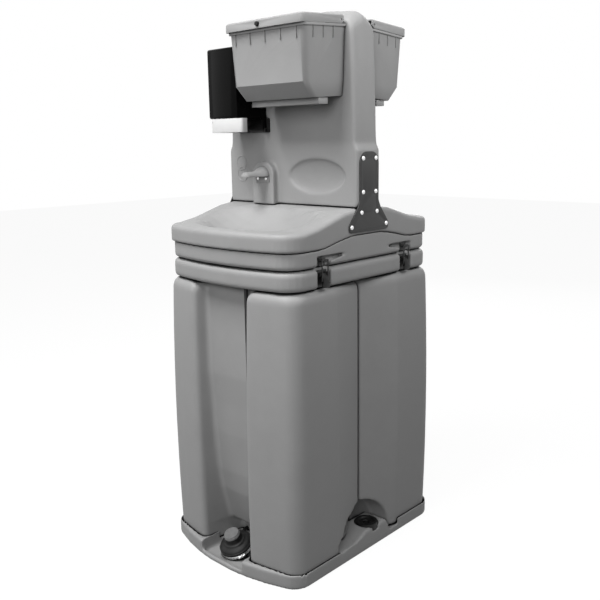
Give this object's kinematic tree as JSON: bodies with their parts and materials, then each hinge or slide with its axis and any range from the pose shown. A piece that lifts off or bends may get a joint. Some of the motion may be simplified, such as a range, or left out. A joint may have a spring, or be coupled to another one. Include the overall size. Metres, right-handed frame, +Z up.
{
  "type": "portable handwash station",
  "caption": "Free-standing handwash station with barrel-sided tanks on a pallet base, a saddle deck with bowls, and a tower with spouts, soap dispensers and towel boxes.",
  "frame": {"origin": "centre of the base's footprint, on the floor", "axes": "+Z up, +X to the right of a person in front, -Y towards that person"},
  "size_m": [0.5154, 0.7088, 1.494],
  "materials": {
    "grey_polyethylene": "rotomoulded, fine even grain",
    "dark_steel": "dark grey powder coat",
    "bright_steel": "bright zinc",
    "latch_steel": "dull plated steel",
    "pale_plastic": "satin light grey",
    "black_gloss": "glossy black",
    "black_plastic": "satin black",
    "white_plastic": "satin white",
    "black_rubber": "matt black",
    "grey_cap": "worn grey"
  },
  "bodies": {
    "station": {"base_pallet": "grey_polyethylene", "front_tank": "grey_polyethylene", "rear_tank": "grey_polyethylene", "collar_ring": "grey_polyethylene", "lower_pan": "grey_polyethylene", "basin_deck": "grey_polyethylene", "tower_shell": "grey_polyethylene", "left_bracket": "dark_steel", "right_bracket": "dark_steel", "bracket_bolts": "bright_steel", "front_towel_box": "grey_polyethylene", "rear_towel_box": "grey_polyethylene", "front_towel_chute": "pale_plastic", "rear_towel_chute": "pale_plastic", "lid_hinge_pins": "bright_steel", "front_soap_back": "black_plastic", "rear_soap_back": "black_plastic", "front_soap_bottle": "white_plastic", "rear_soap_bottle": "white_plastic", "front_spout": "grey_polyethylene", "rear_spout": "grey_polyethylene", "spout_screws": "bright_steel", "front_pump_body": "black_rubber", "rear_pump_body": "black_rubber", "front_pump_bellows": "black_rubber", "rear_pump_bellows": "black_rubber", "pump_clamps": "bright_steel", "front_suction_hose": "black_rubber", "rear_suction_hose": "black_rubber", "front_supply_hose": "black_rubber", "rear_supply_hose": "black_rubber", "drain_strainers": "bright_steel", "drain_tails": "bright_steel", "latch_catches": "latch_steel", "latch_bases": "latch_steel"},
    "front_lid": {"front_towel_lid": "grey_polyethylene"},
    "rear_lid": {"rear_towel_lid": "grey_polyethylene"},
    "front_lock": {"front_lid_lock": "black_plastic"},
    "rear_lock": {"rear_lid_lock": "black_plastic"},
    "front_cover": {"front_soap_cover": "black_gloss"},
    "rear_cover": {"rear_soap_cover": "black_gloss"},
    "front_bar": {"front_push_bar": "white_plastic"},
    "rear_bar": {"rear_push_bar": "white_plastic"},
    "front_foot_cap": {"front_pump_cap": "grey_cap"},
    "rear_foot_cap": {"rear_pump_cap": "grey_cap"},
    "front_drain": {"front_drain_cap": "grey_cap"},
    "rear_drain": {"rear_drain_cap": "grey_cap"},
    "left_plug": {"left_base_plug": "black_plastic"},
    "right_plug": {"right_base_plug": "black_plastic"},
    "fill_cap": {"fresh_fill_cap": "black_plastic"},
    "lever_fr": {"lever_front_right": "black_plastic"},
    "bail_fr": {"bail_front_right": "bright_steel"},
    "lever_fl": {"lever_front_left": "black_plastic"},
    "bail_fl": {"bail_front_left": "bright_steel"},
    "lever_rr": {"lever_rear_right": "black_plastic"},
    "bail_rr": {"bail_rear_right": "bright_steel"},
    "lever_rl": {"lever_rear_left": "black_plastic"},
    "bail_rl": {"bail_rear_left": "bright_steel"}
  },
  "joints": [
    {"name": "front_lid_hinge", "type": "hinge", "parent": "station", "child": "front_lid", "pos_m": [0.0707, -0.0677, 1.45672], "axis": [-1, 0, 0], "range_deg": [0, 90]},
    {"name": "front_lock_turn", "type": "hinge", "parent": "front_lid", "child": "front_lock", "pos_m": [0.0577, -0.212, 1.4484], "axis": [0, 1, 0], "range_deg": [0, 90]},
    {"name": "front_cover_hinge", "type": "hinge", "parent": "station", "child": "front_cover", "pos_m": [-0.1425, -0.0607, 1.193], "axis": [1, 0, 0], "range_deg": [0, 70]},
    {"name": "front_bar_push", "type": "slide", "parent": "front_cover", "child": "front_bar", "axis": [0, 1, 0], "range_m": [0, 0.012], "stiffness_N_per_m": 500, "springref_m": -0.01},
    {"name": "rear_lid_hinge", "type": "hinge", "parent": "station", "child": "rear_lid", "pos_m": [0.0707, 0.0677, 1.45672], "axis": [1, 0, 0], "range_deg": [0, 90]},
    {"name": "rear_lock_turn", "type": "hinge", "parent": "rear_lid", "child": "rear_lock", "pos_m": [0.0577, 0.212, 1.4484], "axis": [0, 1, 0], "range_deg": [0, 90]},
    {"name": "rear_cover_hinge", "type": "hinge", "parent": "station", "child": "rear_cover", "pos_m": [-0.1425, 0.0607, 1.193], "axis": [-1, 0, 0], "range_deg": [0, 70]},
    {"name": "rear_bar_push", "type": "slide", "parent": "rear_cover", "child": "rear_bar", "axis": [0, -1, 0], "range_m": [0, 0.012], "stiffness_N_per_m": 500, "springref_m": -0.01},
    {"name": "front_pump_press", "type": "slide", "parent": "station", "child": "front_foot_cap", "axis": [0, 0.3746, -0.9272], "range_m": [0, 0.026], "stiffness_N_per_m": 900, "springref_m": -0.02, "deforming": ["front_pump_bellows"]},
    {"name": "front_drain_turn", "type": "hinge", "parent": "station", "child": "front_drain", "pos_m": [0.215, -0.07, 0.08], "axis": [0.958, 0.2867, 0], "continuous": true},
    {"name": "rear_pump_press", "type": "slide", "parent": "station", "child": "rear_foot_cap", "axis": [0, -0.3746, -0.9272], "range_m": [0, 0.026], "stiffness_N_per_m": 900, "springref_m": -0.02, "deforming": ["rear_pump_bellows"]},
    {"name": "rear_drain_turn", "type": "hinge", "parent": "station", "child": "rear_drain", "pos_m": [-0.215, 0.07, 0.08], "axis": [-0.958, -0.2867, 0], "continuous": true},
    {"name": "right_plug_turn", "type": "hinge", "parent": "station", "child": "right_plug", "pos_m": [0.22, 0.026, 0.06], "axis": [0, 0, 1], "continuous": true},
    {"name": "left_plug_turn", "type": "hinge", "parent": "station", "child": "left_plug", "pos_m": [-0.22, -0.026, 0.06], "axis": [0, 0, 1], "continuous": true},
    {"name": "fill_cap_turn", "type": "hinge", "parent": "station", "child": "fill_cap", "pos_m": [0, -0.19, 0.794], "axis": [0, 0, 1], "continuous": true},
    {"name": "lever_fr_hinge", "type": "hinge", "parent": "station", "child": "lever_fr", "pos_m": [0.2387, -0.175, 0.83], "axis": [0, -1, 0], "range_deg": [0, 110]},
    {"name": "bail_fr_hinge", "type": "hinge", "parent": "lever_fr", "child": "bail_fr", "pos_m": [0.2439, -0.175, 0.813], "axis": [0, -1, 0], "range_deg": [-110, 0]},
    {"name": "lever_fl_hinge", "type": "hinge", "parent": "station", "child": "lever_fl", "pos_m": [-0.2387, -0.175, 0.83], "axis": [0, 1, 0], "range_deg": [0, 110]},
    {"name": "bail_fl_hinge", "type": "hinge", "parent": "lever_fl", "child": "bail_fl", "pos_m": [-0.2439, -0.175, 0.813], "axis": [0, 1, 0], "range_deg": [-110, 0]},
    {"name": "lever_rr_hinge", "type": "hinge", "parent": "station", "child": "lever_rr", "pos_m": [0.2387, 0.175, 0.83], "axis": [0, -1, 0], "range_deg": [0, 110]},
    {"name": "bail_rr_hinge", "type": "hinge", "parent": "lever_rr", "child": "bail_rr", "pos_m": [0.2439, 0.175, 0.813], "axis": [0, -1, 0], "range_deg": [-110, 0]},
    {"name": "lever_rl_hinge", "type": "hinge", "parent": "station", "child": "lever_rl", "pos_m": [-0.2387, 0.175, 0.83], "axis": [0, 1, 0], "range_deg": [0, 110]},
    {"name": "bail_rl_hinge", "type": "hinge", "parent": "lever_rl", "child": "bail_rl", "pos_m": [-0.2439, 0.175, 0.813], "axis": [0, 1, 0], "range_deg": [-110, 0]}
  ],
  "couplings": [
    {"joint": "bail_fr_hinge", "follows": "lever_fr_hinge", "ratio": -1},
    {"joint": "bail_fl_hinge", "follows": "lever_fl_hinge", "ratio": -1},
    {"joint": "bail_rr_hinge", "follows": "lever_rr_hinge", "ratio": -1},
    {"joint": "bail_rl_hinge", "follows": "lever_rl_hinge", "ratio": -1}
  ]
}
